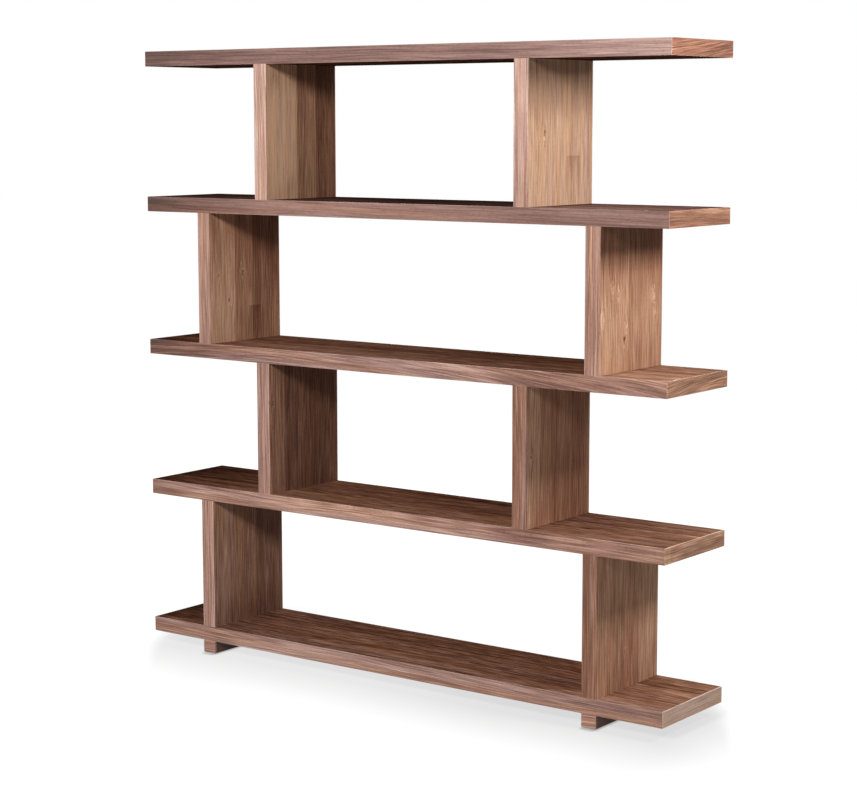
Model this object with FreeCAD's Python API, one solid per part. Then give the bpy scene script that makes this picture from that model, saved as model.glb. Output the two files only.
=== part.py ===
import FreeCAD, Part
import math
import os

# An open bookcase in walnut veneer. Thick, flat shelves are stacked on pairs of slab uprights,
# which stand near the shelf ends in one storey and further in in the next, so that they step in
# and out up the height. Two low feet carry it, each right under an outer upright.
# Shelves and uprights are hollow-core panels: two veneered skins glued to a light frame, with
# solid walnut banding on every edge that shows. A threaded rod in the middle of each upright
# clamps a shelf to the next one, so no screw head shows on a top face or on an upright.
# Origin: centre of the footprint, on the floor. X runs along the front, Y to the back, Z up.
# Level 1 is the lowest shelf, and storey 1 is the space between levels 1 and 2.

# Overall layout, in millimetres
SHELF_COUNT = 5
SHELF_LENGTH = 1800.0
SHELF_DEPTH = 315.0
SHELF_THICKNESS = 44.0
UPRIGHT_THICKNESS = 46.0
CLEAR_HEIGHT = 385.0  # from the top of a shelf to the underside of the next
OUTER_INSET = 225.0  # from a shelf's end to the middle of an outer upright
INNER_INSET = 450.0  # the same for an inner upright
FOOT_HEIGHT = 37.0

# Hollow-core panels
SKIN_THICKNESS = 5.0
BAND_THICKNESS = 3.0
ARRIS_BEVEL = 1.0  # taken off every edge that a hand meets
RAIL_WIDTH = 30.0  # rails along a shelf, and outer stiles up an upright
BLOCK_MARGIN = 10.0  # how far a shelf's solid block reaches past the upright on each side
END_BLOCK_HEIGHT = 45.0  # the solid blocks that close an upright's two ends
RIB_THICKNESS = 12.0
RIB_SPACING = 165.0  # the longest stretch of skin with nothing behind it
CENTRE_STILE_WIDTH = 20.0  # the pair that forms the rod's channel up an upright
CHANNEL_WIDTH = 12.0

# Tie rods, each with a washer and a nut below and a threaded insert above
ROD_RADIUS = 4.0
ROD_CLEARANCE = 0.5  # between the rod and the wood that it is drilled through
ROD_TAIL = 2.0  # how far the rod stands out of its nut
ROD_END_GAP = 1.0  # how far the rod stops short of its insert's end
THREAD_CLEARANCE = 0.05  # between the rod and its nut or insert
WASHER_RADIUS = 8.5
WASHER_THICKNESS = 1.6
WASHER_CLEARANCE = 0.4
NUT_ACROSS_FLATS = 13.0
NUT_HEIGHT = 6.5
INSERT_RADIUS = 6.0
INSERT_LENGTH = 20.0
INSERT_CLEARANCE = 0.05
INSERT_END_GAP = 2.0  # how far the blind hole runs on past the insert
RECESS_RADIUS = 12.0  # the counterbore that takes the nut
RECESS_DEPTH = 16.0

# Snap-in covers over the nuts under the shelves
COVER_LIP = 2.0  # how far the cover reaches past the recess
COVER_THICKNESS = 1.2
COVER_BEVEL = 0.5
COVER_SKIRT_DEPTH = 5.0
COVER_SKIRT_WALL = 1.5
COVER_CLEARANCE = 0.1

# Loose plywood tongues, which keep the stack in line: two at each end of an upright
TONGUE_THICKNESS = 8.0
TONGUE_WIDTH = 50.0
TONGUE_LENGTH = 36.0
TONGUE_CLEARANCE = 0.1
TONGUE_END_GAP = 1.0

# Felt pads under the feet
PAD_RADIUS = 12.5
PAD_THICKNESS = 3.0
PAD_INSET = 30.0

OVERRUN = 5.0  # how far a cutting shape runs past the piece that it cuts

LEFT = -1
RIGHT = 1
FRONT = -1
BACK = 1
SIDES = {"left": LEFT, "right": RIGHT}
LEVELS = range(1, SHELF_COUNT + 1)
STOREYS = range(1, SHELF_COUNT)
HEX_CORNERS = 6

# Sizes that several pieces share
half_length = SHELF_LENGTH / 2
half_depth = SHELF_DEPTH / 2
panel_length = SHELF_LENGTH - 2 * BAND_THICKNESS
panel_depth = SHELF_DEPTH - 2 * BAND_THICKNESS
inside_rail = panel_depth / 2 - RAIL_WIDTH
inside_stile = CHANNEL_WIDTH / 2 + CENTRE_STILE_WIDTH
pitch = SHELF_THICKNESS + CLEAR_HEIGHT


def cuboid(x, y, z):
    """A straight-sided piece, from its spans (low, high) along the three axes."""
    corner = FreeCAD.Vector(x[0], y[0], z[0])
    return Part.makeBox(x[1] - x[0], y[1] - y[0], z[1] - z[0], corner)


def centred(width, middle=0):
    """The span of that width around a middle."""
    return (middle - width / 2, middle + width / 2)


def mirrored(near, far):
    """The same span on the front and on the back side."""
    return [tuple(sorted((row * near, row * far))) for row in (FRONT, BACK)]


def bar(x, z, radius):
    """A round bar, or the bore for one, that stands upright in mid-depth over the span z."""
    return Part.makeCylinder(radius, z[1] - z[0], FreeCAD.Vector(x, 0, z[0]))


def prism(points, z):
    """A plan outline, given by its corners (x, y), raised over the span z."""
    corners = [FreeCAD.Vector(x, y, z[0]) for x, y in points + points[:1]]
    return Part.Face(Part.makePolygon(corners)).extrude(FreeCAD.Vector(0, 0, z[1] - z[0]))


def bevelled(solid, wanted, size):
    """The solid with its wanted edges bevelled. They are picked by their bounding boxes."""
    return solid.makeChamfer(size, [edge for edge in solid.Edges if wanted(edge.BoundBox)])


def hollowed(solid, cutters):
    """The solid less those of the cutters that come near it."""
    near = [cutter for cutter in cutters if cutter.BoundBox.intersect(solid.BoundBox)]
    return solid.cut(near) if near else solid


def save(node, shapes):
    """Writes one sub-part, which may be several separate solids of the same kind."""
    solids = [solid for shape in shapes for solid in shape.Solids]
    for solid in solids:
        if not solid.isValid() or solid.Volume <= 0:
            raise ValueError(node + " has a bad solid")
    whole = solids[0] if len(solids) == 1 else Part.makeCompound(solids)
    whole.exportStep("parts/" + node + ".step")


def shelf_span(level):
    """Underside and top of a shelf."""
    underside = PAD_THICKNESS + FOOT_HEIGHT + (level - 1) * pitch
    return (underside, underside + SHELF_THICKNESS)


def upright_span(storey):
    """Bottom and top of the uprights of a storey."""
    return (shelf_span(storey)[1], shelf_span(storey + 1)[0])


def upright_middle(storey, side):
    """X of an upright's middle. Odd storeys have the outer uprights, even ones the inner."""
    inset = OUTER_INSET if storey % 2 else INNER_INSET
    return side * (half_length - inset)


# Tie-rod joints


def rod_places(storeys=STOREYS):
    """X and storey of every tie rod. Each runs up the middle of an upright."""
    sides = SIDES.values()
    return [(upright_middle(storey, side), storey) for storey in storeys for side in sides]


def nut_face(storey):
    """The underside that a rod's nut is let into: a foot's in storey 1, else a shelf's."""
    return PAD_THICKNESS if storey == 1 else shelf_span(storey)[0]


def insert_face(storey):
    """The underside of the shelf above, which holds the rod's insert."""
    return shelf_span(storey + 1)[0]


def washer_span(storey):
    """The washer lies against the end of the recess."""
    seat = nut_face(storey) + RECESS_DEPTH
    return (seat - WASHER_THICKNESS, seat)


def nut_span(storey):
    """The nut lies against its washer."""
    top = washer_span(storey)[0]
    return (top - NUT_HEIGHT, top)


def rod_hole(x, storey):
    """The hole that lets the rod through a foot and a shelf."""
    return bar(x, (nut_face(storey), insert_face(storey)), ROD_RADIUS + ROD_CLEARANCE)


def nut_recess(x, storey):
    """The counterbore for a rod's nut and washer."""
    face = nut_face(storey)
    return bar(x, (face - OVERRUN, face + RECESS_DEPTH), RECESS_RADIUS)


def insert_hole(x, storey):
    """The blind hole for a rod's insert."""
    face = insert_face(storey)
    blind_end = face + INSERT_LENGTH + INSERT_END_GAP
    return bar(x, (face - OVERRUN, blind_end), INSERT_RADIUS + INSERT_CLEARANCE)


def tie_rod(x, storey):
    """A threaded rod from just under its nut into the insert of the shelf above."""
    low = nut_span(storey)[0] - ROD_TAIL
    high = insert_face(storey) + INSERT_LENGTH - ROD_END_GAP
    return bar(x, (low, high), ROD_RADIUS)


def washer(x, storey):
    """A flat ring."""
    z = washer_span(storey)
    return bar(x, z, WASHER_RADIUS).cut(bar(x, z, ROD_RADIUS + WASHER_CLEARANCE))


def nut(x, storey):
    """A hexagon nut. Its corners lie on a circle that follows from the size across its flats."""
    z = nut_span(storey)
    corner_radius = NUT_ACROSS_FLATS / 2 / math.cos(math.pi / HEX_CORNERS)
    angles = [2 * math.pi * corner / HEX_CORNERS for corner in range(HEX_CORNERS)]
    hexagon = [
        (x + corner_radius * math.cos(angle), corner_radius * math.sin(angle))
        for angle in angles
    ]
    return prism(hexagon, z).cut(bar(x, z, ROD_RADIUS + THREAD_CLEARANCE))


def insert(x, storey):
    """A threaded sleeve, flush with the underside that it is let into."""
    face = insert_face(storey)
    z = (face, face + INSERT_LENGTH)
    return bar(x, z, INSERT_RADIUS).cut(bar(x, z, ROD_RADIUS + THREAD_CLEARANCE))


def nut_cover(x, storey):
    """A thin disc with a short skirt that grips the recess."""
    face = nut_face(storey)
    disc = bar(x, (face - COVER_THICKNESS, face), RECESS_RADIUS + COVER_LIP)
    bevel = min(COVER_BEVEL, COVER_THICKNESS / 2)
    disc = bevelled(disc, lambda box: box.ZMax < face - COVER_THICKNESS / 2, bevel)
    z = (face, face + COVER_SKIRT_DEPTH)
    skirt_radius = RECESS_RADIUS - COVER_CLEARANCE
    skirt = bar(x, z, skirt_radius).cut(bar(x, z, skirt_radius - COVER_SKIRT_WALL))
    return disc.fuse(skirt).removeSplitter()


# Loose tongues


def tongue(x, y, joint, clearance=0, end_gap=0):
    """A flat tongue across a joint, or with its clearances the two mortises for it."""
    thickness = centred(TONGUE_THICKNESS + 2 * clearance, x)
    width = centred(TONGUE_WIDTH + 2 * clearance, y)
    return cuboid(thickness, width, centred(TONGUE_LENGTH + 2 * end_gap, joint))


def tongue_places():
    """X, Y and joint height of every tongue. Each is in the middle of an end block."""
    block_middle = (inside_stile + inside_rail) / 2
    places = []
    for side in SIDES.values():
        joints = [(1, shelf_span(1)[0])]
        joints += [(storey, joint) for storey in STOREYS for joint in upright_span(storey)]
        for storey, joint in joints:
            x = upright_middle(storey, side)
            places += [(x, row * block_middle, joint) for row in (FRONT, BACK)]
    return places


def mortises():
    """The hollows for all the tongues."""
    return [tongue(*place, TONGUE_CLEARANCE, TONGUE_END_GAP) for place in tongue_places()]


# Shelves


def ribs_between(low, high):
    """Spans of the evenly spaced ribs that a free stretch needs."""
    bays = math.ceil((high - low) / RIB_SPACING)
    middles = [low + (high - low) * rib / bays for rib in range(1, bays)]
    return [centred(RIB_THICKNESS, middle) for middle in middles]


def block_middles(level):
    """X of the solid blocks in a shelf: one wherever an upright or a foot meets it."""
    meeting = [storey for storey in (level - 1, level) if storey in STOREYS]
    return [upright_middle(storey, side) for storey in meeting for side in SIDES.values()]


def shelf_frame(level):
    """Front and back rail, end rails, a block at each upright, and ribs between them."""
    underside, top = shelf_span(level)
    z = (underside + SKIN_THICKNESS, top - SKIN_THICKNESS)
    rails = mirrored(inside_rail, panel_depth / 2)
    pieces = [cuboid(centred(panel_length), y, z) for y in rails]
    block_width = UPRIGHT_THICKNESS + 2 * BLOCK_MARGIN
    solid_spans = mirrored(panel_length / 2 - RAIL_WIDTH, panel_length / 2)
    solid_spans += [centred(block_width, middle) for middle in block_middles(level)]
    solid_spans.sort()
    rib_spans = []
    for before, after in zip(solid_spans, solid_spans[1:]):
        rib_spans += ribs_between(before[1], after[0])
    pieces += [cuboid(x, centred(2 * inside_rail), z) for x in solid_spans + rib_spans]
    return pieces


def shelf_panel(z):
    """A veneered skin, or the whole panel inside the bands, over the span z."""
    return cuboid(centred(panel_length), centred(panel_depth), z)


def shelf_bands(level):
    """Two long and two end bands, mitred where they meet, with every outer edge bevelled."""
    z = shelf_span(level)
    slab = cuboid(centred(SHELF_LENGTH), centred(SHELF_DEPTH), z)
    slab = bevelled(slab, lambda box: True, ARRIS_BEVEL)
    tall = (z[0] - OVERRUN, z[1] + OVERRUN)
    ring = slab.cut(shelf_panel(tall))
    # The mitres run in from the corners at 45 degrees and meet on the shelf's centre line
    far_x = half_length + OVERRUN
    far_y = half_depth + OVERRUN
    meeting_x = half_length - half_depth
    long_bands = []
    for row in (FRONT, BACK):
        outline = [(-far_x, row * far_y), (far_x, row * far_y), (meeting_x, 0), (-meeting_x, 0)]
        long_bands.append(ring.common(prism(outline, tall)))
    end_bands = []
    for side in SIDES.values():
        outline = [(side * far_x, -far_y), (side * far_x, far_y), (side * meeting_x, 0)]
        end_bands.append(ring.common(prism(outline, tall)))
    return long_bands, end_bands


def shelf_hollows(level):
    """What is cut into a shelf: mortises, rod holes, nut recesses and insert holes."""
    own = rod_places([level]) if level in STOREYS else []
    below = rod_places([level - 1]) if level - 1 in STOREYS else []
    hollows = mortises()
    hollows += [rod_hole(*place) for place in own]
    hollows += [insert_hole(*place) for place in below]
    if level > 1:
        hollows += [nut_recess(*place) for place in own]
    return hollows


def build_shelf(level):
    name = "shelf_" + str(level)
    underside, top = shelf_span(level)
    hollows = shelf_hollows(level)
    bottom_skin = shelf_panel((underside, underside + SKIN_THICKNESS))
    top_skin = shelf_panel((top - SKIN_THICKNESS, top))
    long_bands, end_bands = shelf_bands(level)
    save(name + "_frame", [hollowed(piece, hollows) for piece in shelf_frame(level)])
    save(name + "_bottom_skin", [hollowed(bottom_skin, hollows)])
    save(name + "_top_skin", [hollowed(top_skin, hollows)])
    save(name + "_long_bands", long_bands)
    save(name + "_end_bands", end_bands)


# Uprights


def upright_frame(storey, side):
    """Outer stiles, the centre stiles that flank the rod, end blocks and ribs between them."""
    low, high = upright_span(storey)
    x = centred(UPRIGHT_THICKNESS - 2 * SKIN_THICKNESS, upright_middle(storey, side))
    stiles = mirrored(inside_rail, panel_depth / 2) + mirrored(CHANNEL_WIDTH / 2, inside_stile)
    pieces = [cuboid(x, y, (low, high)) for y in stiles]
    blocks = [(low, low + END_BLOCK_HEIGHT), (high - END_BLOCK_HEIGHT, high)]
    ribs = ribs_between(blocks[0][1], blocks[1][0])
    for y in mirrored(inside_stile, inside_rail):
        pieces += [cuboid(x, y, z) for z in blocks + ribs]
    return pieces


def upright_skins(storey, side):
    """The two veneered side faces of an upright."""
    offset = (UPRIGHT_THICKNESS - SKIN_THICKNESS) / 2
    middles = [upright_middle(storey, side) + face * offset for face in (LEFT, RIGHT)]
    z = upright_span(storey)
    return [cuboid(centred(SKIN_THICKNESS, x), centred(panel_depth), z) for x in middles]


def upright_bands(storey, side):
    """Front and back band of an upright, flush with the bands of the shelves."""
    x = centred(UPRIGHT_THICKNESS, upright_middle(storey, side))
    z = upright_span(storey)
    slab = cuboid(x, centred(SHELF_DEPTH), z)
    slab = bevelled(slab, lambda box: box.XLength + box.YLength < ARRIS_BEVEL, ARRIS_BEVEL)
    return [slab.cut(cuboid(x, centred(panel_depth), z))]


def build_upright(storey, side_name):
    name = "upright_" + str(storey) + "_" + side_name
    side = SIDES[side_name]
    save(name + "_frame", [hollowed(piece, mortises()) for piece in upright_frame(storey, side)])
    save(name + "_skins", upright_skins(storey, side))
    save(name + "_bands", upright_bands(storey, side))


# Feet and pads


def foot(side):
    """A solid runner as deep as the shelf, with every edge bevelled but those against the shelf."""
    z = (PAD_THICKNESS, PAD_THICKNESS + FOOT_HEIGHT)
    runner = cuboid(centred(UPRIGHT_THICKNESS, upright_middle(1, side)), centred(SHELF_DEPTH), z)
    runner = bevelled(runner, lambda box: box.ZMin < z[1] - ARRIS_BEVEL, ARRIS_BEVEL)
    hollows = mortises()
    for place in rod_places([1]):
        hollows += [rod_hole(*place), nut_recess(*place)]
    return hollowed(runner, hollows)


def felt_pads():
    """A die-cut disc under each end of each foot."""
    pads = []
    for side in SIDES.values():
        for row in (FRONT, BACK):
            pad = bar(upright_middle(1, side), (0, PAD_THICKNESS), PAD_RADIUS)
            pad.translate(FreeCAD.Vector(0, row * (half_depth - PAD_INSET), 0))
            pads.append(pad)
    return pads


def build():
    os.makedirs("parts", exist_ok=True)
    for level in LEVELS:
        build_shelf(level)
    for storey in STOREYS:
        for side_name in SIDES:
            build_upright(storey, side_name)
    for side_name, side in SIDES.items():
        save("foot_" + side_name, [foot(side)])
    save("tie_rods", [tie_rod(*place) for place in rod_places()])
    save("rod_washers", [washer(*place) for place in rod_places()])
    save("rod_nuts", [nut(*place) for place in rod_places()])
    save("rod_inserts", [insert(*place) for place in rod_places()])
    save("nut_covers", [nut_cover(*place) for place in rod_places(STOREYS[1:])])
    save("tongues", [tongue(*place) for place in tongue_places()])
    save("felt_pads", felt_pads())


build()
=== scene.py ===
"""Staggered walnut bookcase on a white studio floor."""
import math

import bpy
from mathutils import Matrix, Vector


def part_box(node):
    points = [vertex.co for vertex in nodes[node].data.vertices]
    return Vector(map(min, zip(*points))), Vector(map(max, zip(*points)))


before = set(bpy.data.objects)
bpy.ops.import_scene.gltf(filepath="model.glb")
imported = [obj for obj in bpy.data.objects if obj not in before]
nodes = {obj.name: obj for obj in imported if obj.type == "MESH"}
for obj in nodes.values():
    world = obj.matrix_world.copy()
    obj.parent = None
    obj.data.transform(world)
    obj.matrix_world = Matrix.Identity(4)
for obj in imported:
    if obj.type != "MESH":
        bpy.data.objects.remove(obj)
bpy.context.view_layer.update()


# Colours
# One function turns the hex colours, which are sRGB, to the linear values that the shaders use.
def linear(colour):
    parts = [int(colour[k:k + 2], 16) / 255 for k in (1, 3, 5)]
    return [p / 12.92 if p <= 0.04045 else ((p + 0.055) / 1.055) ** 2.4 for p in parts] + [1.0]


# Walnut runs from the dark lines of the late wood to the pale sapwood beside the bark.
WALNUT = ("#24150E", "#482A1B", "#6B4431", "#8F654D", "#B88A6D", "#DCB08E", "#FCC8A0")
# Wood from the outer heartwood is greyer and pinker, and wood from the inside is redder.
GREY_WALNUT = ("#241814", "#453029", "#684B43", "#8E6F67", "#B4968C", "#D8C0B5", "#F0E0D8")
RED_WALNUT = ("#29140D", "#4E291B", "#74432F", "#9A604A", "#BF856A", "#E3B698", "#F8DCC6")
# Every piece mixes plain walnut with one of the two. On the front banding a large share of the greyer,
# pinker wood is partly painted sheen.
PINKER = (WALNUT, GREY_WALNUT)
REDDER = (WALNUT, RED_WALNUT)
# A tone of 0 is a palette's first colour, and this one is its last.
PALEST = 1.2


# Node building
# Adds a shader node; an input takes a value, a node (its first output) or a socket. Inputs go by name or by
# place: a Map Range node has its value, the range that it comes from and the range that it goes to.
def add(tree, kind, inputs=None, **settings):
    node = tree.nodes.new("ShaderNode" + kind)
    for name, value in settings.items():
        setattr(node, name, value)
    for place, value in (inputs or {}).items():
        if isinstance(value, bpy.types.Node):
            value = value.outputs[0]
        if isinstance(value, bpy.types.NodeSocket):
            tree.links.new(value, node.inputs[place])
        else:
            node.inputs[place].default_value = value
    return node


def new_material(name):
    material = bpy.data.materials.new(name)
    material.use_nodes = True
    material.node_tree.nodes.clear()
    return material


# Sets the stops of a colour ramp, as (position, colour) pairs in rising order.
def set_stops(ramp, stops):
    elements = ramp.color_ramp.elements
    while len(elements) < len(stops):
        elements.new(1.0)
    for element, (position, colour) in zip(elements, stops):
        element.position = position
        element.color = colour


# Walnut, sliced veneer or sawn banding, oiled or under a thin satin lacquer
# The eye sees soft bands of late wood, finer streaks and short thin lines between them, a few dark lines,
# open pores as dark dashes, stripes of pinker and browner wood, leaves that differ in tone from one glued
# joint to the next, and paler arrises, partly rubbed and partly a painted highlight. Some leaves and the slow
# drift of tone along a board also hold painted light and shade.
# Each pattern has its spacing across the grain and its length along it in metres, and its detail. The finest
# fibres are really 0.1 mm apart and are drawn 2 mm apart, and pores 0.1 to 0.2 mm wide are drawn 1 mm wide,
# because a pixel of the picture covers 2.6 mm and anything finer would not show.
BANDS = (0.034, 0.9, 3.0)
STREAKS = (0.0075, 0.32, 2.0)
THIN_LINES = (0.0036, 0.21, 1.0)
FIBRES = (0.0020, 0.10, 0.0)
DARK_LINES = (0.009, 0.7, 1.0)
PORES = (0.0010, 0.012, 0.0)
STRIPES = (0.021, 0.7, 2.0)
# The weight in the tone of the first four.
WEIGHTS = {BANDS: 0.52, STREAKS: 0.27, THIN_LINES: 0.44, FIBRES: 0.44}
# Lines and pores begin to show where their noise reaches the first value, and are dark from the second on.
DARK_LINES_SHOW = (0.58, 0.70)
PORES_SHOW = (0.60, 0.74)
PORE_DEPTH = 0.10
# The second palette's share goes from this much under its mean to this much over it, while the stripes' noise
# goes from the first value to the second.
STRIPES_SPREAD = 0.3
STRIPES_CHANGE = (0.35, 0.65)
# The size in metres of the bends that the lines wander in, along the grain, across it and through the wood.
WANDER = (0.625, 0.25, 0.25)
# Through the wood all patterns change within this length.
THROUGH = 0.25
# Each piece is cut from another place in the trunk, this far away for a seed of 1, and each leaf likewise for
# a change of tone of 1.
PIECE_APART = (1.7, 0.0, 2.3)
LEAF_APART = (9.0, 9.0, 9.0)
# A knot's outline is ragged, with this many lumps to its size, and moved by up to this many sizes. Its dark
# middle and its pale ring fade away between these distances from its centre, and the lines are pushed aside
# as far as its reach, all in its own sizes, and by this share of their distance at most.
KNOT_LUMPS = 1.2
KNOT_RAGGED = 1.6
KNOT_MIDDLE = (0.0, 0.5)
KNOT_RING = (0.1, 1.3)
KNOT_REACH = 2.2
KNOT_PUSH = 0.9
LACQUER_IOR = 1.5
LACQUER_ROUGHNESS = (0.52, 0.62)
FIBRE_HEIGHT = 0.0004
FIBRE_STRENGTH = 0.12
# Width of the paler arrises, partly rubbed and partly a painted highlight.
RUB_AND_HIGHLIGHT_WIDTH = 0.0013


def grain_noise(tree, flow, spacing, length, detail):
    stretched = add(tree, "Mapping", {0: flow, "Scale": (1 / length, 1 / spacing, 1 / THROUGH)})
    return add(tree, "TexNoise", {0: stretched, "Scale": 1.0, "Detail": detail})


# Grain flows round a knot: lines near its dark middle are pushed apart, and the wood about it is paler. A
# knot has its place along and across the grain, its size, and how dark its middle and how pale its ring is.
def grow_knot(tree, u, v, board, base, knot):
    middle_u, middle_v, size, dark_middle, pale_ring = knot
    ragged_by = KNOT_RAGGED * size
    flat = add(tree, "CombineXYZ", {0: u, 1: v})
    ragged = add(tree, "TexNoise", {0: flat, "Scale": KNOT_LUMPS / size, "Detail": 2.0})
    bent = add(tree, "VectorMath", {0: ragged.outputs["Color"], 1: (ragged_by,) * 3, 2: flat},
               operation="MULTIPLY_ADD")
    centre = (middle_u + ragged_by / 2, middle_v + ragged_by / 2, ragged_by / 2)
    from_knot = add(tree, "VectorMath", {0: bent, 1: centre}, operation="SUBTRACT")
    # A knot is twice as long along the grain as across it.
    near = add(tree, "VectorMath", {0: from_knot, 1: (0.5 / size, 1.0 / size, 0.0)}, operation="MULTIPLY")
    distance = add(tree, "VectorMath", {0: near}, operation="LENGTH").outputs["Value"]
    pull = add(tree, "MapRange", {0: distance, 1: 0.0, 2: KNOT_REACH, 3: -KNOT_PUSH, 4: 0.0},
               interpolation_type="SMOOTHSTEP")
    aside = add(tree, "VectorMath", {0: from_knot, 1: (0.0, 1.0, 0.0)}, operation="MULTIPLY")
    scaled = add(tree, "VectorMath", {0: aside, "Scale": pull}, operation="SCALE")
    board = add(tree, "VectorMath", {0: board, 1: scaled}, operation="ADD")
    for (start, end), shade in ((KNOT_MIDDLE, -dark_middle), (KNOT_RING, pale_ring)):
        spot = add(tree, "MapRange", {0: distance, 1: start, 2: end, 3: shade, 4: 0.0},
                   interpolation_type="SMOOTHSTEP")
        base = add(tree, "Math", {0: base, 1: spot}, operation="ADD")
    return board, base


# A board cut near the middle of the trunk shows long nested arches about one place. Their heart has its place
# along and across the grain, what a metre along it counts as across it, and how far they reach along it.
def arch_grain(tree, u, flow, heart):
    heart_u, heart_v, flatness, reach = heart
    parts = add(tree, "SeparateXYZ", {0: flow})
    along = add(tree, "MapRange", {0: u, 1: heart_u - reach, 2: heart_u + reach,
                                   3: -reach * flatness, 4: reach * flatness})
    upward = add(tree, "Math", {0: parts.outputs[1], 1: heart_v}, operation="SUBTRACT")
    from_heart = add(tree, "CombineXYZ", {0: upward, 1: along})
    ring = add(tree, "VectorMath", {0: from_heart}, operation="LENGTH").outputs["Value"]
    return add(tree, "CombineXYZ", {0: parts.outputs[0], 1: ring, 2: parts.outputs[2]})


# The arrises are paler, partly rubbed where sanding went through the stain and partly a painted highlight
# where light catches the edge.
def rub_and_highlight_arrises(tree, place, box, paler):
    middle, half = box
    centred = add(tree, "VectorMath", {0: place, 1: middle}, operation="SUBTRACT")
    size = add(tree, "VectorMath", {0: centred}, operation="ABSOLUTE")
    rim = add(tree, "VectorMath", {0: size, 1: tuple(h - RUB_AND_HIGHLIGHT_WIDTH for h in half)}, operation="SUBTRACT")
    sides = add(tree, "SeparateXYZ", {0: rim})
    # A point on an arris lies at two sides of the box at once.
    count = 0.0
    for axis in range(3):
        outer = add(tree, "Math", {0: sides.outputs[axis], 1: 0.0}, operation="GREATER_THAN")
        count = add(tree, "Math", {0: outer, 1: count}, operation="ADD")
    return add(tree, "MapRange", {0: count, 1: 1.0, 2: 2.0, 3: 0.0, 4: paler})
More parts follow.
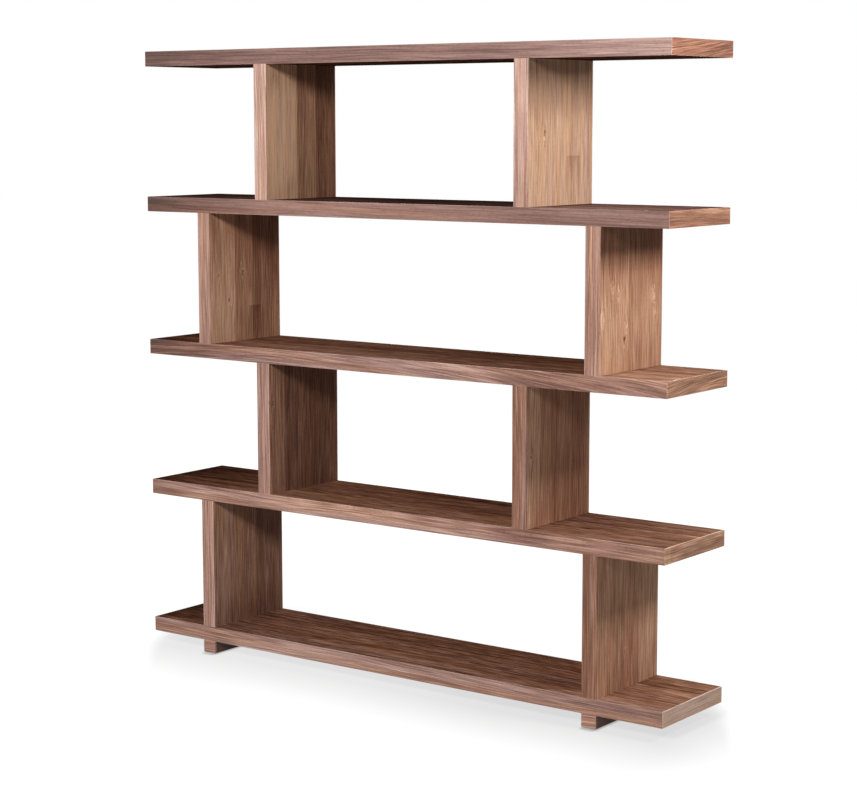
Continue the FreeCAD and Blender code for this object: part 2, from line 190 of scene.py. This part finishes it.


# The grain runs along one axis, and the leaves lie side by side along the other. Seed picks the piece's place
# in the trunk, and box is its middle and half size. Tone is its mean, and blend is the second palette's
# share. Leaves and drift are pairs of a share of the way, across the board or along it, and the change of
# tone there, which holds painted light and shade as well as the wood's own tone. Slope tilts the lines, sway
# is how far they wander in metres, contrast and banding weigh the fine and the broad patterns, stretch makes
# them longer, lines is how dark the dark lines are, rub is how much paler the arrises are, partly by rubbing
# and partly as a painted highlight, and gloss is how strongly the surface reflects.
def walnut(name, grain, across, seed, box, tone, palettes=PINKER, blend=0.4, leaves_and_painted_light=(), drift_and_painted_light=(), slope=0.0,
           sway=0.04, heart=(), knots=(), patches=(), rub_and_highlight=0.0, contrast=1.0, banding=1.0, stretch=1.0,
           lines=0.10, gloss=0.3):
    material = new_material(name)
    tree = material.node_tree
    through = ({"X", "Y", "Z"} - {grain, across}).pop()
    middle, half = box
    place = add(tree, "TexCoord").outputs["Object"]
    split = add(tree, "SeparateXYZ", {0: place})
    u, v, w = (split.outputs[axis] for axis in (grain, across, through))
    tilted = add(tree, "Math", {0: u, 1: slope, 2: v}, operation="MULTIPLY_ADD")
    board = add(tree, "CombineXYZ", {0: u, 1: tilted, 2: w})
    base = tone

    # Tones change in steps across the board, at the joints of its leaves, and slowly along it. Besides the
    # wood's own tone, both changes carry painted light and shade.
    for stops, socket, axis, steps in ((leaves_and_painted_light, v, across, True), (drift_and_painted_light, u, grain, False)):
        if not stops:
            continue
        k = "XYZ".index(axis)
        share = add(tree, "MapRange", {0: socket, 1: middle[k] - half[k], 2: middle[k] + half[k]})
        ramp = add(tree, "ValToRGB", {0: share})
        ramp.color_ramp.interpolation = "CONSTANT" if steps else "LINEAR"
        set_stops(ramp, [(start, (0.5 + shade,) * 3 + (1.0,)) for start, shade in stops])
        change = add(tree, "Math", {0: ramp, 1: 0.5}, operation="SUBTRACT")
        base = add(tree, "Math", {0: base, 1: change}, operation="ADD")
        if steps:
            shift = add(tree, "CombineXYZ", {0: change, 2: change})
            board = add(tree, "VectorMath", {0: shift, 1: LEAF_APART, 2: board}, operation="MULTIPLY_ADD")

    # A patch of darker or paler tone grows stronger from its start along the grain to its end, where it stops
    # sharply. On the uprights it is the wood's own tone, and on the two lowest tops it is painted light. It
    # also has its middle and half width across the grain, and its change of tone.
    for start, end, middle_v, half_v, shade in patches:
        growing = add(tree, "MapRange", {0: u, 1: start, 2: end, 3: 0.0, 4: shade})
        before = add(tree, "Math", {0: u, 1: end}, operation="LESS_THAN")
        inside = add(tree, "Math", {0: v, 1: middle_v, 2: half_v}, operation="COMPARE")
        both = add(tree, "Math", {0: before, 1: inside}, operation="MULTIPLY")
        base = add(tree, "Math", {0: growing, 1: both, 2: base}, operation="MULTIPLY_ADD")

    for knot in knots:
        board, base = grow_knot(tree, u, v, board, base, knot)

    # The trunk is never quite straight, so the lines wander by a few millimetres.
    moved = add(tree, "VectorMath", {0: board, 1: tuple(seed * apart for apart in PIECE_APART)},
                operation="ADD")
    bends = tuple(1 / size for size in WANDER)
    wander = add(tree, "TexNoise", {0: add(tree, "Mapping", {0: moved, "Scale": bends}),
                                    "Scale": 1.0, "Detail": 1.0})
    off = add(tree, "VectorMath", {0: wander.outputs["Color"], 1: (0.5, 0.5, 0.5)}, operation="SUBTRACT")
    flow = add(tree, "VectorMath", {0: off, 1: (0.0, sway, 0.0), 2: moved}, operation="MULTIPLY_ADD")
    if heart:
        flow = arch_grain(tree, u, flow, heart)

    noises = {}
    for pattern, weight in WEIGHTS.items():
        spacing, length, detail = pattern
        weight *= banding if pattern is BANDS else contrast
        noises[pattern] = grain_noise(tree, flow, spacing, length * stretch, detail)
        base = add(tree, "Math", {0: base, 1: weight / 2}, operation="SUBTRACT")
        base = add(tree, "Math", {0: noises[pattern], 1: weight, 2: base}, operation="MULTIPLY_ADD")
    for pattern, show, depth in ((DARK_LINES, DARK_LINES_SHOW, lines), (PORES, PORES_SHOW, PORE_DEPTH)):
        start, full = show
        noise = grain_noise(tree, flow, *pattern)
        darker = add(tree, "MapRange", {0: noise, 1: start, 2: full, 3: 0.0, 4: -depth})
        base = add(tree, "Math", {0: base, 1: darker}, operation="ADD")
    if rub_and_highlight:
        base = add(tree, "Math", {0: base, 1: rub_and_highlight_arrises(tree, place, box, rub_and_highlight)}, operation="ADD")

    # Two ranges of colour, in stripes that follow the grain.
    ramps = []
    for palette in palettes:
        ramps.append(add(tree, "ValToRGB", {0: add(tree, "Math", {0: base, 1: PALEST}, operation="DIVIDE")}))
        set_stops(ramps[-1], [(k / (len(palette) - 1), linear(c)) for k, c in enumerate(palette)])
    stripes = grain_noise(tree, flow, *STRIPES)
    start, end = STRIPES_CHANGE
    share = add(tree, "MapRange", {0: stripes, 1: start, 2: end,
                                   3: blend - STRIPES_SPREAD, 4: blend + STRIPES_SPREAD})
    colour = add(tree, "Mix", {"Factor": share, "A": ramps[0], "B": ramps[1]}, data_type="RGBA")
    smooth, rough = LACQUER_ROUGHNESS
    roughness = add(tree, "MapRange", {0: noises[STREAKS], 1: 0.3, 2: 0.7, 3: smooth, 4: rough})
    relief = add(tree, "Bump", {"Height": noises[FIBRES], "Strength": FIBRE_STRENGTH,
                                "Distance": FIBRE_HEIGHT})
    shader = add(tree, "BsdfPrincipled", {"Base Color": colour.outputs["Result"], "Roughness": roughness,
                                          "IOR": LACQUER_IOR, "Specular IOR Level": gloss, "Normal": relief})
    add(tree, "OutputMaterial", {0: shader})
    return material


def dress(node, material):
    piece = nodes[node]
    if not piece.material_slots:
        piece.data.materials.append(material)
    for slot in piece.material_slots:
        slot.material = material


# The middle and the half size of the box that holds some nodes.
def box_of(*names):
    lows, highs = zip(*(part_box(name) for name in names))
    low = Vector(min(c[k] for c in lows) for k in range(3))
    high = Vector(max(c[k] for c in highs) for k in range(3))
    return tuple((low + high) / 2), tuple((high - low) / 2)


# Shelves, from the lowest up
# The leaves lie from front to back, and the drift goes from the left end to the right end. The tops' drift is
# painted shade, darker over the left overhangs, and painted light, paler at the right ends. On the two lowest
# shelves a patch of painted light makes the back leaf paler towards the right end.
SHELF_SKIN = dict(contrast=1.25, banding=0.9, stretch=0.4, lines=0.16, gloss=0.0)
TOPS = {
    1: dict(tone=0.44, blend=0.2,
            leaves_and_painted_light=((0.0, 0.03), (0.34, -0.03), (0.36, 0.01), (0.50, -0.03), (0.66, -0.21), (0.68, -0.06)),
            drift_and_painted_light=((0.0, -0.32), (0.05, -0.18), (0.11, -0.12), (0.13, 0.0), (0.87, 0.0), (0.90, 0.09)),
            patches=((0.60, 0.9, 0.08, 0.08, 0.12),)),
    2: dict(tone=0.42, blend=0.2,
            leaves_and_painted_light=((0.0, 0.06), (0.34, -0.01), (0.50, -0.05), (0.79, -0.22), (0.81, -0.07)),
            drift_and_painted_light=((0.0, -0.30), (0.06, -0.19), (0.17, -0.10), (0.23, -0.07), (0.25, 0.06), (0.45, 0.0),
                   (0.60, -0.03), (0.76, -0.03), (0.79, 0.05)),
            patches=((0.60, 0.9, 0.08, 0.08, 0.16),)),
    3: dict(tone=0.48, blend=0.2,
            leaves_and_painted_light=((0.0, 0.06), (0.34, 0.0), (0.52, -0.08)),
            drift_and_painted_light=((0.0, -0.30), (0.05, -0.24), (0.11, -0.20), (0.13, 0.0), (0.40, 0.0), (0.50, -0.03),
                   (0.61, -0.11), (0.87, -0.10), (0.90, 0.20))),
    4: dict(tone=0.26, blend=0.8,
            leaves_and_painted_light=((0.0, 0.0), (0.45, -0.06), (0.75, -0.12)),
            drift_and_painted_light=((0.0, -0.08), (0.1, -0.05), (0.23, 0.0), (0.5, -0.07), (0.76, -0.05), (0.79, 0.25))),
    5: dict(tone=0.50, blend=0.2,
            leaves_and_painted_light=((0.0, 0.03), (0.34, -0.01), (0.60, -0.04))),
}
# The undersides are given a low tone as painted shade.
SHADED_UNDERSIDE = dict(tone=0.22, blend=0.2, leaves_and_painted_light=((0.0, 0.03), (0.45, -0.02)))
# On the fronts the drift is painted shade, darker towards the left ends, and on the top shelf painted sheen,
# paler towards the right end. Their large shares of the greyer, pinker palette are partly the wood's colour
# and partly painted sheen.
LONG_EDGE = dict(slope=0.01, sway=0.024, contrast=1.1, banding=0.7)
LONG_EDGES = {
    1: dict(tone=0.64, blend=0.65,
            drift_and_painted_light=((0.0, -0.06), (0.3, 0.02), (0.6, 0.0), (0.8, -0.06), (1.0, -0.10))),
    2: dict(tone=0.64, blend=0.5, heart=(-0.313, 0.505, 0.03, 0.2),
            drift_and_painted_light=((0.0, -0.10), (0.11, 0.03), (0.22, -0.06), (0.33, 0.06), (0.6, 0.0), (0.67, 0.03),
                   (0.78, -0.14), (0.89, -0.05), (1.0, -0.06))),
    3: dict(tone=0.59, blend=0.75, heart=(-0.43, 0.87, 0.07, 1.4),
            drift_and_painted_light=((0.0, -0.20), (0.1, -0.13), (0.22, 0.0), (0.62, 0.0), (0.78, -0.09), (1.0, -0.02))),
    4: dict(tone=0.55, blend=0.85, contrast=0.55, banding=0.385,
            drift_and_painted_light=((0.0, -0.26), (0.12, -0.10), (0.25, 0.0), (0.6, 0.0), (0.7, -0.07), (1.0, -0.02))),
    5: dict(tone=0.49, blend=1.2, contrast=0.7, banding=0.49,
            drift_and_painted_light=((0.0, -0.17), (0.12, -0.07), (0.33, 0.02), (0.45, -0.015), (0.56, 0.02), (0.67, 0.005),
                   (0.78, 0.06), (0.89, 0.165), (1.0, 0.22))),
}
# The end banding's drift goes from front to back.
END_EDGES = {
    1: dict(tone=0.94, blend=0.35, contrast=0.6, banding=0.6),
    2: dict(tone=0.74, palettes=REDDER, blend=0.1, contrast=1.2, banding=1.2,
            drift_and_painted_light=((0.0, 0.10), (0.09, 0.10), (0.10, 0.0), (1.0, 0.0))),
    3: dict(tone=0.72, palettes=REDDER, blend=0.0, slope=-0.06, contrast=1.3, banding=1.3,
            heart=(0.02, 0.88, 0.1, 0.4), drift_and_painted_light=((0.0, 0.05), (1.0, -0.04))),
    4: dict(tone=0.66, palettes=REDDER, blend=0.4, slope=0.02, contrast=1.05, banding=1.05),
    5: dict(tone=0.58, palettes=REDDER, blend=0.5, slope=-0.12, contrast=1.25, banding=1.25,
            drift_and_painted_light=((0.0, 0.04), (1.0, -0.06))),
}
# How much paler the shelves' arrises are, partly by rubbing and partly as a painted highlight.
RUB_AND_HIGHLIGHT = {1: 0.03, 2: 0.045, 3: 0.12, 4: 0.11, 5: 0.12}
# The seeds here and below are any numbers that differ from piece to piece.
for number in range(1, 6):
    shelf = f"shelf_{number}"
    box = box_of(shelf + "_long_bands", shelf + "_end_bands")
    for side, looks in (("top", TOPS[number]), ("bottom", SHADED_UNDERSIDE)):
        veneer = walnut(f"oiled_walnut_veneer_{shelf}_{side}", "X", "Y", number * 3.1 + len(side), box,
                        **SHELF_SKIN, **looks)
        dress(f"{shelf}_{side}_skin", veneer)
    banding = walnut(f"lacquered_walnut_banding_{shelf}_long", "X", "Z", number * 2.7 + 9, box,
                     rub_and_highlight=RUB_AND_HIGHLIGHT[number], **(LONG_EDGE | LONG_EDGES[number]))
    dress(shelf + "_long_bands", banding)
    banding = walnut(f"lacquered_walnut_banding_{shelf}_end", "Y", "Z", number * 4.9 + 17, box,
                     rub_and_highlight=RUB_AND_HIGHLIGHT[number], stretch=0.6, **END_EDGES[number])
    dress(shelf + "_end_bands", banding)

# Uprights, named for their storey and side
# The leaves of the skins lie from front to back, and the drift goes up the height. The drift is painted
# shade and light: it darkens or lightens each side along its height to shape the shadows that the shelves
# above cast. On the left uprights the leaves grow darker from front to back, partly their own tone and partly
# painted light falling off towards the back.
UPRIGHT_SKIN = dict(banding=0.6, stretch=0.7, lines=0.06, gloss=0.05)
SIDES = {
    "1_left": dict(
        tone=0.64, blend=0.3, leaves_and_painted_light=((0.0, 0.07), (0.27, 0.02), (0.6, -0.09)),
        drift_and_painted_light=((0.0, -0.03), (0.1, -0.03), (0.3, 0.04), (0.5, 0.03), (0.7, -0.02), (1.0, 0.0))),
    "1_right": dict(
        tone=0.85, palettes=REDDER, blend=0.25, leaves_and_painted_light=((0.0, 0.02), (0.26, -0.04), (0.7, 0.05)),
        drift_and_painted_light=((0.0, 0.0), (0.3, -0.04), (0.45, -0.03), (0.62, 0.05), (1.0, 0.04)),
        knots=((0.187, -0.016, 0.010, 0.3, 0.08),)),
    "2_left": dict(
        tone=0.49, blend=0.15, leaves_and_painted_light=((0.0, 0.17), (0.22, 0.0), (0.6, -0.04)),
        drift_and_painted_light=((0.0, 0.03), (0.35, 0.02), (0.7, -0.01), (1.0, -0.04)),
        knots=((0.779, -0.142, 0.010, 0.3, 0.06),)),
    "2_right": dict(
        tone=0.75, palettes=REDDER, blend=0.35, leaves_and_painted_light=((0.0, 0.18), (0.2, 0.08), (0.37, 0.0), (0.7, -0.06)),
        drift_and_painted_light=((0.0, -0.07), (0.12, -0.06), (0.26, 0.02), (0.5, 0.05), (0.7, 0.03), (0.9, 0.0)),
        knots=((0.707, -0.136, 0.012, 0.3, 0.06),)),
    "3_left": dict(
        tone=0.74, palettes=REDDER, blend=0.3, leaves_and_painted_light=((0.0, 0.20), (0.35, 0.04), (0.6, -0.12)),
        drift_and_painted_light=((0.0, 0.07), (0.35, 0.06), (0.7, -0.06), (0.9, -0.14)),
        knots=((1.142, -0.119, 0.008, 0.40, 0.05), (1.145, -0.013, 0.014, 0.30, 0.10),
               (1.066, -0.073, 0.011, 0.45, 0.06)),
        patches=((0.95, 1.044, 0.040, 0.026, -0.16),)),
    "3_right": dict(
        tone=0.79, palettes=REDDER, blend=0.3, leaves_and_painted_light=((0.0, 0.05), (0.45, 0.0), (0.8, 0.0)),
        drift_and_painted_light=((0.0, 0.05), (0.35, 0.08), (0.5, 0.04), (0.7, -0.09), (0.9, -0.14)),
        knots=((1.162, -0.096, 0.013, 0.0, 0.13), (1.146, -0.066, 0.013, 0.15, 0.13),
               (1.140, 0.109, 0.013, 0.0, 0.11), (1.099, 0.118, 0.014, 0.15, 0.13),
               (1.081, -0.141, 0.013, 0.15, 0.13), (1.050, -0.030, 0.013, 0.0, 0.10),
               (1.027, -0.034, 0.013, 0.50, 0.0))),
    "4_left": dict(
        tone=0.82, palettes=REDDER, blend=0.1,
        leaves_and_painted_light=((0.0, 0.34), (0.14, 0.28), (0.43, -0.05), (0.70, -0.24)),
        drift_and_painted_light=((0.0, 0.0), (0.5, 0.0), (0.75, -0.06), (0.9, -0.20))),
    "4_right": dict(
        tone=0.95, blend=0.1, leaves_and_painted_light=((0.0, 0.02), (0.56, -0.02)),
        drift_and_painted_light=((0.0, 0.0), (0.45, 0.0), (0.7, -0.04), (0.85, -0.02), (1.0, 0.02)),
        knots=((1.563, -0.079, 0.013, 0.6, 0.04),), patches=((1.42, 1.502, 0.062, 0.033, -0.12),)),
}
# The strips of the front and back banding lie from left to right.
EDGES = {
    "1_left": dict(tone=0.70, blend=0.5, leaves_and_painted_light=((0.0, 0.0), (0.80, 0.06), (0.86, 0.0))),
    "1_right": dict(tone=0.47, blend=0.2, leaves_and_painted_light=((0.0, 0.0), (0.74, 0.11), (0.82, 0.0))),
    "2_left": dict(tone=0.59, blend=0.6),
    "2_right": dict(tone=0.47, blend=0.4),
    "3_left": dict(tone=0.64, blend=0.5, drift_and_painted_light=((0.0, -0.03), (0.4, -0.02), (0.7, 0.03), (1.0, 0.03))),
    "3_right": dict(tone=0.59, blend=0.5, leaves_and_painted_light=((0.0, 0.0), (0.15, -0.05), (0.22, 0.02))),
    "4_left": dict(tone=0.83, blend=0.6, leaves_and_painted_light=((0.0, 0.0), (0.68, -0.10), (0.74, 0.0))),
    "4_right": dict(tone=0.71, blend=0.7, leaves_and_painted_light=((0.0, -0.04), (0.12, 0.0)),
                    drift_and_painted_light=((0.0, -0.11), (0.3, -0.02), (0.6, 0.02), (1.0, 0.10))),
}
for count, place_name in enumerate(SIDES):
    upright = f"upright_{place_name}"
    box = box_of(upright + "_skins", upright + "_bands")
    veneer = walnut(f"oiled_walnut_veneer_{upright}", "Z", "Y", count * 3.7 + 60, box,
                    **UPRIGHT_SKIN, **SIDES[place_name])
    dress(upright + "_skins", veneer)
    banding = walnut(f"lacquered_walnut_banding_{upright}", "Z", "X", count * 2.9 + 80, box,
                     rub_and_highlight=0.05, **EDGES[place_name])
    dress(upright + "_bands", banding)

# Tone of a foot's sides, kept low as painted shade under the shelf, and how much paler its front and back
# ends are.
FEET = {"foot_left": (0.28, 0.35), "foot_right": (0.42, 0.22)}
for count, (foot, (tone, paler)) in enumerate(FEET.items()):
    ends = ((0.0, paler), (0.02, paler), (0.03, 0.0), (0.97, 0.0), (0.98, paler))
    solid = walnut(f"oiled_solid_walnut_{foot}", "Y", "Z", count * 7 + 110, box_of(foot),
                   tone=tone, blend=0.6, drift_and_painted_light=ends, rub_and_highlight=0.05)
    dress(foot, solid)


# Hidden timber, plywood, steel, plastic and felt
# Bare sawn pine is a dull pale yellow with soft darker bands of late wood, and its saw marks make it a little
# rough. The rings are really about 3 mm apart and are drawn 6 mm apart so that they show. Birch plywood,
# sanded and bare, is paler and has thin darker glue lines one veneer of 1.5 mm apart.
def bare_wood(name, dark, pale, spacing):
    material = new_material(name)
    tree = material.node_tree
    place = add(tree, "TexCoord").outputs["Object"]
    stretched = add(tree, "Mapping", {0: place, "Scale": (6.0, 1 / spacing, 1 / spacing)})
    rings = add(tree, "TexNoise", {0: stretched, "Scale": 1.0, "Detail": 3.0})
    colour = add(tree, "ValToRGB", {0: rings})
    set_stops(colour, [(0.35, linear(dark)), (0.65, linear(pale))])
    relief = add(tree, "Bump", {"Height": rings, "Strength": 0.2, "Distance": 0.0003})
    shader = add(tree, "BsdfPrincipled", {"Base Color": colour, "Roughness": 0.7, "IOR": 1.5,
                                          "Normal": relief})
    add(tree, "OutputMaterial", {0: shader})
    return material


pine = bare_wood("sawn_pine", "#B98F58", "#DDBB83", spacing=0.006)
for name in nodes:
    if name.endswith("_frame"):
        dress(name, pine)
dress("tongues", bare_wood("birch_plywood", "#C4A06C", "#E3C79A", spacing=0.0015))


# Zinc plate on turned steel is bright and slightly mottled, cool and silvery where it is clear and straw
# yellow where it is passivated. Its crystals are far too fine to show, so they are drawn 1.1 mm wide.
CRYSTALS_PER_METRE = 900.0


def zinc_plate(name, dark, pale, rough):
    material = new_material(name)
    tree = material.node_tree
    place = add(tree, "TexCoord").outputs["Object"]
    crystals = add(tree, "TexNoise", {0: place, "Scale": CRYSTALS_PER_METRE, "Detail": 3.0})
    colour = add(tree, "ValToRGB", {0: crystals})
    set_stops(colour, [(0.3, linear(dark)), (0.7, linear(pale))])
    roughness = add(tree, "MapRange", {0: crystals, 1: 0.3, 2: 0.7, 3: rough - 0.06, 4: rough + 0.06})
    shader = add(tree, "BsdfPrincipled", {"Base Color": colour, "Roughness": roughness, "Metallic": 1.0})
    add(tree, "OutputMaterial", {0: shader})
    return material


bright_zinc = zinc_plate("bright_zinc_plate", "#B9BCC0", "#D6D9DC", rough=0.32)
for name in ("tie_rods", "rod_washers", "rod_nuts"):
    dress(name, bright_zinc)
dress("rod_inserts", zinc_plate("yellow_zinc_plate", "#BBA763", "#D9C98B", rough=0.35))


# ABS moulded in a spark-eroded tool is an even, matt dark brown with a fine grain. The grain is really
# 0.05 mm and is drawn 0.6 mm wide so that it shows. Pressed wool felt is dull and dark, with flecks of paler
# fibre clumps and a faint fuzz where it is seen edge on.
def mottled(name, dark, pale, size, rough, height, fuzz=0.0):
    material = new_material(name)
    tree = material.node_tree
    place = add(tree, "TexCoord").outputs["Object"]
    grains = add(tree, "TexNoise", {0: place, "Scale": 1 / size, "Detail": 3.0})
    colour = add(tree, "ValToRGB", {0: grains})
    set_stops(colour, [(0.35, linear(dark)), (0.65, linear(pale))])
    relief = add(tree, "Bump", {"Height": grains, "Strength": 0.4, "Distance": height})
    shader = add(tree, "BsdfPrincipled", {"Base Color": colour, "Roughness": rough, "IOR": 1.5,
                                          "Sheen Weight": fuzz, "Normal": relief})
    add(tree, "OutputMaterial", {0: shader})
    return material


abs_plastic = mottled("spark_textured_abs", "#35221A", "#453027", size=0.0006, rough=0.55, height=0.0001)
dress("nut_covers", abs_plastic)
felt = mottled("pressed_wool_felt", "#2A2623", "#4A443E", size=0.0012, rough=0.95, height=0.0006, fuzz=0.4)
dress("felt_pads", felt)


# Floor
# A studio floor under rolled matt white paint is even and has no gloss and no pattern. It is seen as white
# with a painted soft shadow, and light that falls on it bounces back as from a mid grey, so that it doesn't
# light the undersides too much.
BOUNCE = (0.45, 0.45, 0.45, 1.0)
# A small part of what is seen comes from the lamps, so that their shadows show faintly in the painted shadow.
LIT_PART = (0.12, 0.12, 0.12, 1.0)
WHITE = (1.0, 1.0, 1.0, 1.0)
# A painted shadow lies under the bookcase and fades away at this distance from it, counted faster off its
# ends.
PAINTED_SHADOW_LEVEL = 0.745
PAINTED_SHADOW_HALF = (0.9, 0.16, 0.0)
PAINTED_SHADOW_WEIGHTS = (1.3, 1.0, 0.0)
PAINTED_SHADOW_FADE = 0.42
# The painted shadow is this much stronger under the right half, between these two places.
PAINTED_SHADOW_RIGHT_STRONGER = 0.22
RIGHT_START, RIGHT_FULL = -0.2, 0.5
# The painted shadow stops short at both ends, along two lines turned by this angle in degrees, between
# these distances from the middle.
CUT_TURN = -36.6
CUT_START, CUT_FULL = 0.78, 0.885
CUT_PALER = 0.3
# A painted contact shadow, a thin dark line, lies about each foot, from just inside its outline to just
# outside.
CONTACT_HALF = (0.013, 0.150, 0.0)
CONTACT_WEIGHTS = (1.0, 0.6, 0.0)
CONTACT_START, CONTACT_END = 0.003, 0.019
PAINTED_CONTACT_SHADOW_DEPTH = 0.34


# Gives 1 for the rays that see the background itself: from the camera, in gloss and through glass.
def background_rays(tree):
    path = add(tree, "LightPath")
    seen = path.outputs["Is Camera Ray"]
    for ray in ("Is Glossy Ray", "Is Transmission Ray"):
        seen = add(tree, "Math", {0: seen, 1: path.outputs[ray]}, operation="MAXIMUM")
    return seen


# How far a point lies outside a rectangle about the origin, each direction weighed.
def outside(tree, place, half, weights):
    past = add(tree, "VectorMath", {0: place, 1: half}, operation="SUBTRACT")
    past = add(tree, "VectorMath", {0: past, 1: (0.0, 0.0, 0.0)}, operation="MAXIMUM")
    past = add(tree, "VectorMath", {0: past, 1: weights}, operation="MULTIPLY")
    return add(tree, "VectorMath", {0: past}, operation="LENGTH").outputs["Value"]


bpy.ops.object.select_all(action="DESELECT")
bpy.ops.mesh.primitive_plane_add(size=60)
floor = bpy.context.object
floor.name = "studio_floor"
paint = new_material("white_floor_paint")
tree = paint.node_tree
place = add(tree, "TexCoord").outputs["Object"]
spread = add(tree, "VectorMath", {0: place}, operation="ABSOLUTE")
# The painted shadow under the bookcase, stronger on the right.
away = outside(tree, spread, PAINTED_SHADOW_HALF, PAINTED_SHADOW_WEIGHTS)
level = add(tree, "MapRange", {0: away, 1: 0.0, 2: PAINTED_SHADOW_FADE, 3: PAINTED_SHADOW_LEVEL, 4: 1.0})
right = add(tree, "MapRange", {0: add(tree, "SeparateXYZ", {0: place}), 1: RIGHT_START, 2: RIGHT_FULL,
                               3: 0.0, 4: PAINTED_SHADOW_RIGHT_STRONGER}, interpolation_type="SMOOTHSTEP")
darker = add(tree, "Math", {0: level, 1: 1.0}, operation="SUBTRACT")
level = add(tree, "Math", {0: darker, 1: right, 2: level}, operation="MULTIPLY_ADD")
# The two places where the painted shadow stops short.
sideways = add(tree, "Mapping", {0: place, "Rotation": (0.0, 0.0, math.radians(CUT_TURN))})
sideways = add(tree, "SeparateXYZ", {0: add(tree, "VectorMath", {0: sideways}, operation="ABSOLUTE")})
ends = add(tree, "MapRange", {0: sideways, 1: CUT_START, 2: CUT_FULL, 3: 0.0, 4: CUT_PALER},
           interpolation_type="SMOOTHSTEP")
level = add(tree, "Math", {0: level, 1: ends}, operation="ADD")
level = add(tree, "Math", {0: level, 1: 1.0}, operation="MINIMUM")
# The painted contact shadow about each foot.
foot_middle = box_of("foot_right")[0]
beside = add(tree, "VectorMath", {0: spread, 1: (foot_middle[0], 0.0, 0.0)}, operation="SUBTRACT")
beside = add(tree, "VectorMath", {0: beside}, operation="ABSOLUTE")
contact = outside(tree, beside, CONTACT_HALF, CONTACT_WEIGHTS)
contact = add(tree, "MapRange", {0: contact, 1: CONTACT_START, 2: CONTACT_END, 3: PAINTED_CONTACT_SHADOW_DEPTH, 4: 0.0},
              interpolation_type="SMOOTHSTEP")
level = add(tree, "Math", {0: level, 1: contact}, operation="SUBTRACT")
bounced = add(tree, "BsdfDiffuse", {"Color": BOUNCE})
lit = add(tree, "BsdfDiffuse", {"Color": LIT_PART})
glow = add(tree, "Emission", {"Color": WHITE, "Strength": level})
white = add(tree, "AddShader", {0: lit, 1: glow})
add(tree, "OutputMaterial", {0: add(tree, "MixShader", {0: background_rays(tree), 1: bounced, 2: white})})
floor.data.materials.append(paint)

# World
# The backdrop is white, and only a trace of light comes from all round.
AMBIENT = 0.02
world = bpy.data.worlds.new("studio")
bpy.context.scene.world = world
world.use_nodes = True
tree = world.node_tree
tree.nodes.clear()
ambient = add(tree, "Background", {"Color": WHITE, "Strength": AMBIENT})
backdrop = add(tree, "Background", {"Color": WHITE, "Strength": 1.0})
add(tree, "OutputWorld", {0: add(tree, "MixShader", {0: background_rays(tree), 1: ambient, 2: backdrop})})


# Lamps
# A level of 1 lights a white surface that faces the lamp, at the place it aims at, to white.
def soft_box(name, position, aim, side, level):
    reach = Vector(aim) - Vector(position)
    lamp = bpy.data.lights.new(name, "AREA")
    lamp.shape = "SQUARE"
    lamp.size = side
    lamp.energy = math.pi ** 2 * reach.length_squared * level
    holder = bpy.data.objects.new(name, lamp)
    bpy.context.collection.objects.link(holder)
    holder.location = position
    holder.rotation_euler = reach.to_track_quat("-Z", "Y").to_euler()


soft_box("right_soft_box", position=(2.5, 0.1, 2.1), aim=(0.5, 0.0, 1.2), side=0.5, level=0.70)
soft_box("front_soft_box", position=(0.9, -5.0, 3.4), aim=(0.0, 0.0, 0.9), side=0.9, level=1.1)
soft_box("left_soft_box", position=(-3.5, -3.5, 2.2), aim=(0.0, 0.0, 1.0), side=2.5, level=0.15)
soft_box("back_soft_box", position=(-2.4, 4.4, 2.2), aim=(0.0, 0.0, 1.0), side=1.6, level=0.45)

# Camera, turned to the left and a little down, as the picture was taken
CAMERA_PLACE = (3.5659, -4.7561, 1.5960)
# How far it is turned, dipped and leaned, in degrees.
CAMERA_ANGLES = (36.607, 7.598, -0.050)
FOCAL_PIXELS = 2109.8
IMAGE_WIDTH = 857
SENSOR_WIDTH = 36.0
turn, dip, lean = (math.radians(angle) for angle in CAMERA_ANGLES)
turned = Matrix(((math.cos(turn), math.sin(turn), 0), (-math.sin(turn), math.cos(turn), 0), (0, 0, 1)))
# Right, down and ahead of a level camera that looks along Y.
level_view = Matrix(((1, 0, 0), (0, 0, -1), (0, 1, 0)))
dipped = Matrix(((1, 0, 0), (0, math.cos(dip), -math.sin(dip)), (0, math.sin(dip), math.cos(dip))))
leaned = Matrix(((math.cos(lean), -math.sin(lean), 0), (math.sin(lean), math.cos(lean), 0), (0, 0, 1)))
rightward, downward, ahead = leaned @ dipped @ level_view @ turned
stand = Matrix((rightward, -downward, -ahead)).transposed().to_4x4()
stand.translation = CAMERA_PLACE
optics = bpy.data.cameras.new("camera")
optics.sensor_width = SENSOR_WIDTH
optics.lens = FOCAL_PIXELS * SENSOR_WIDTH / IMAGE_WIDTH
camera = bpy.data.objects.new("camera", optics)
bpy.context.collection.objects.link(camera)
camera.matrix_world = stand
bpy.context.scene.camera = camera
bpy.context.scene.view_settings.view_transform = "Standard"
